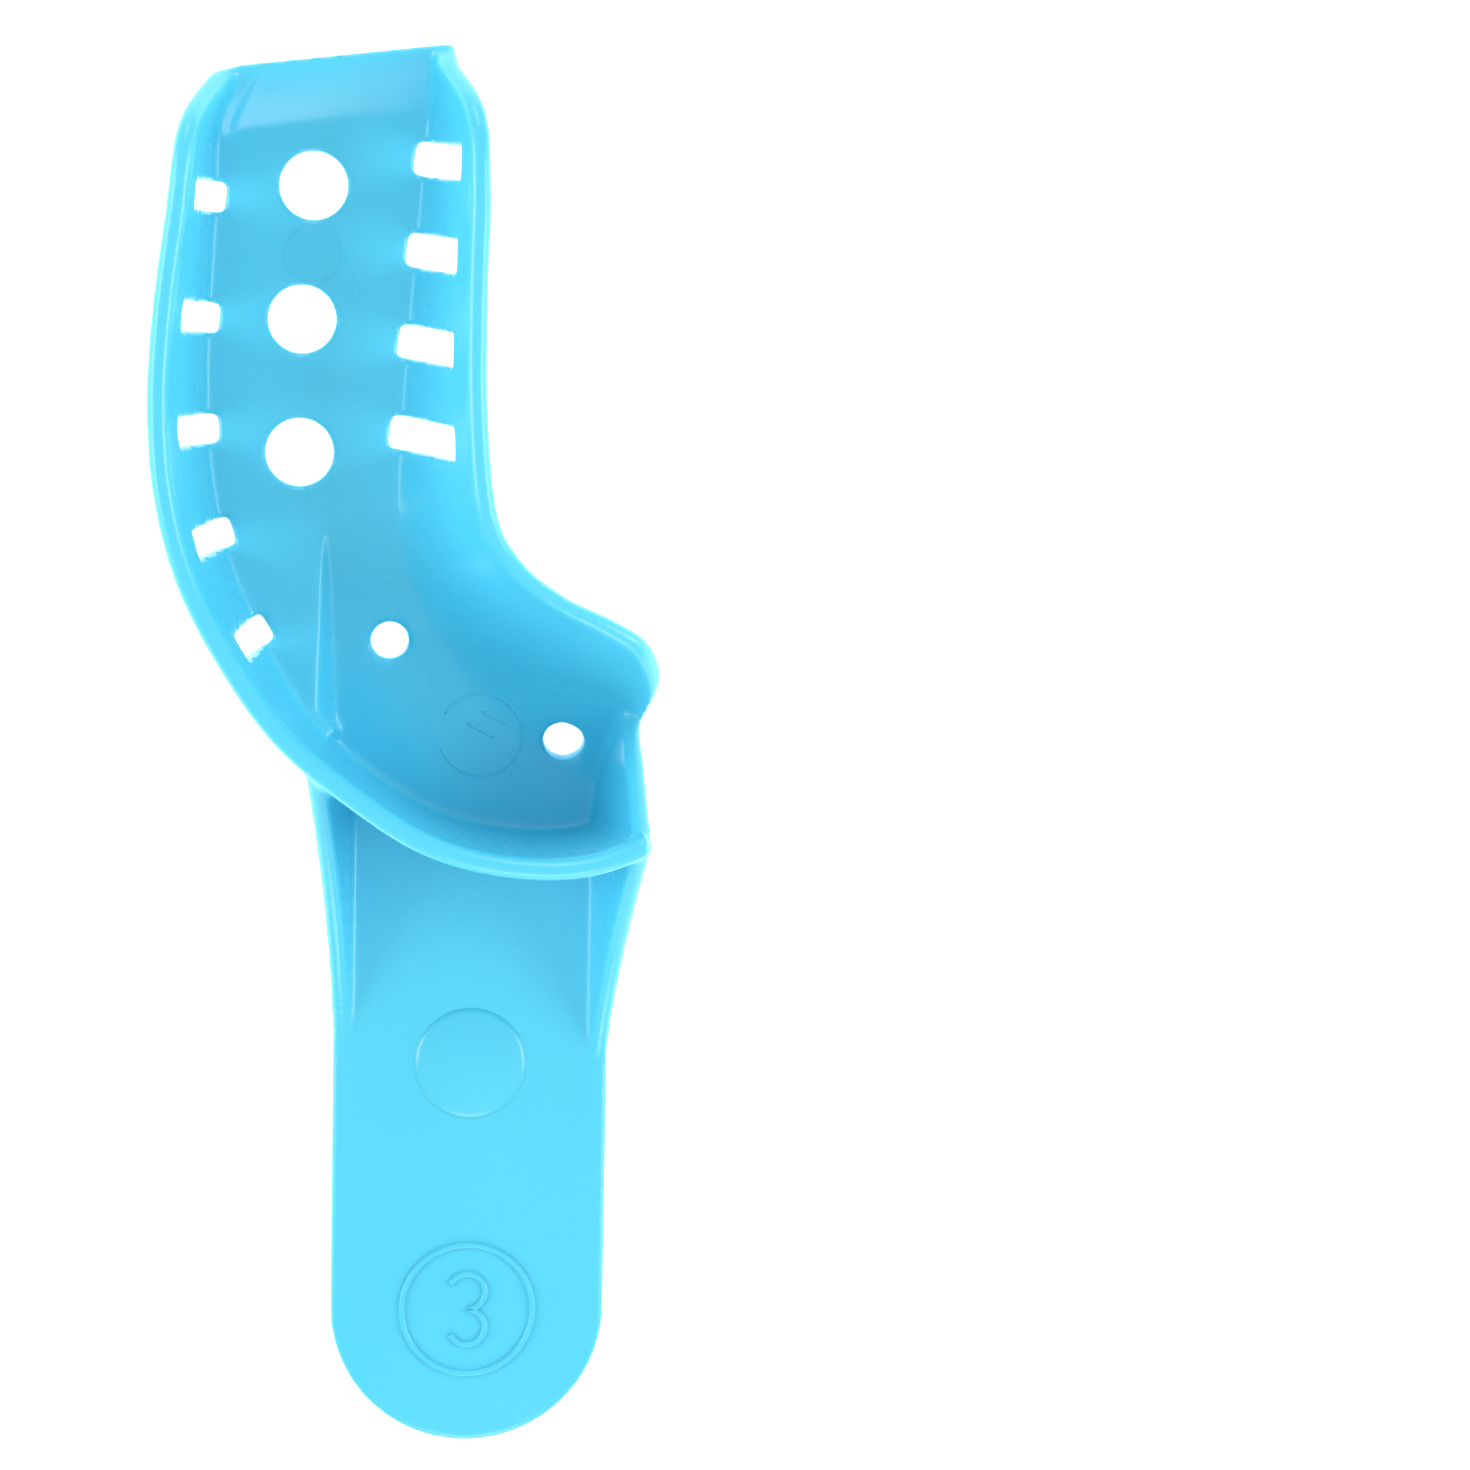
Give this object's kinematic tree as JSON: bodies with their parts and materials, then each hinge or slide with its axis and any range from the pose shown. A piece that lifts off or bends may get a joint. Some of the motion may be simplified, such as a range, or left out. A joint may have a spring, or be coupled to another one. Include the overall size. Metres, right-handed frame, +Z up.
{
  "type": "impression tray",
  "caption": "Perforated partial dental impression tray: a curved open trough with a raised molar floor, leaning slotted walls and a flat ribbed handle.",
  "frame": {"origin": "on the underside of the handle, on its centre line, under the foremost point of the bowl's rim", "axes": "+Y from the handle towards the molar end of the bowl, +X across the handle towards the midline end of the bowl, +Z up out of the open bowl, normal to the handle"},
  "size_m": [0.0398, 0.1107, 0.0169],
  "materials": {
    "tray_plastic": "glossy pale blue moulded polystyrene, slightly translucent"
  },
  "bodies": {
    "root": {"handle_blade": "tray_plastic", "left_gusset": "tray_plastic", "right_gusset": "tray_plastic", "thumb_button": "tray_plastic", "size_ring": "tray_plastic", "size_numeral": "tray_plastic", "molar_floor": "tray_plastic", "distal_lip": "tray_plastic", "buccal_wall": "tray_plastic", "labial_wall": "tray_plastic", "mesial_wall": "tray_plastic", "lingual_wall": "tray_plastic", "palatal_slope": "tray_plastic", "front_floor": "tray_plastic", "floor_step": "tray_plastic", "outer_rim": "tray_plastic", "inner_rim": "tray_plastic"}
  },
  "joints": []
}
